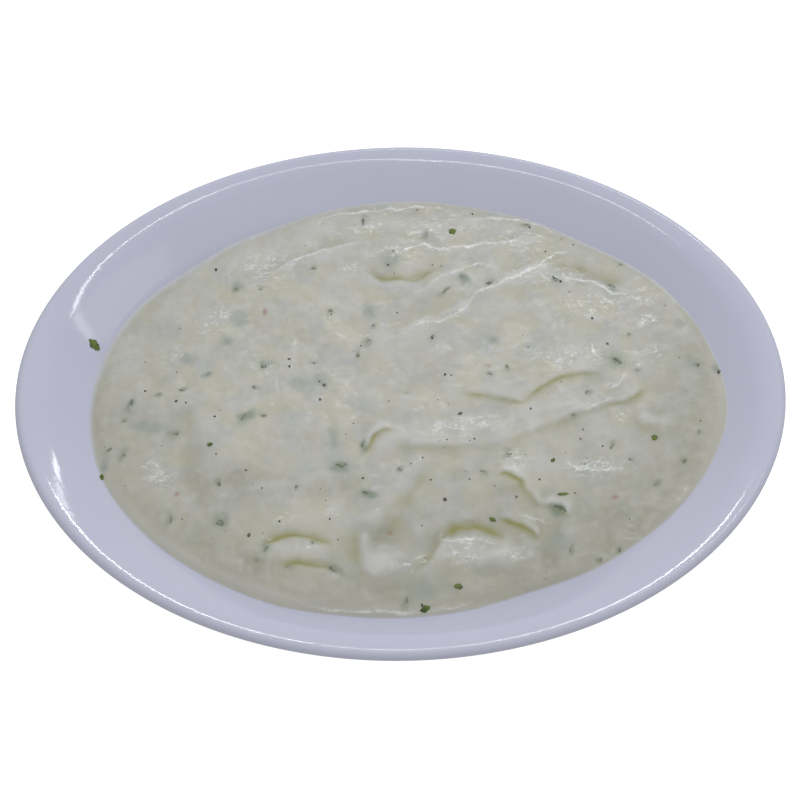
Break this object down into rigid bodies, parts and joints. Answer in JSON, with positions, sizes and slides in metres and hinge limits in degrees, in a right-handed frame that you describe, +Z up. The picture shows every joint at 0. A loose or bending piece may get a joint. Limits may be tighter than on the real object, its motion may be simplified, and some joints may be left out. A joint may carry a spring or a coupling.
{
  "type": "mashed potato side in a dish",
  "caption": "Oval glazed serving dish filled with creamy mashed potato, folded with a spoon and flecked with chopped green herbs and pepper.",
  "frame": {"origin": "under the middle of the dish, on the surface it stands on", "axes": "+X along the dish, +Y across it, +Z up"},
  "size_m": [0.26, 0.19, 0.034],
  "materials": {
    "dish_glaze": "glossy white glaze with a cool cast",
    "dish_foot": "matt unglazed foot ring",
    "mash": "moist creamy potato, soft gloss",
    "herb": "moist chopped herb leaf",
    "pepper": "dull ground pepper"
  },
  "bodies": {
    "root": {"dish": "dish_glaze", "mash": "mash"}
  },
  "joints": []
}
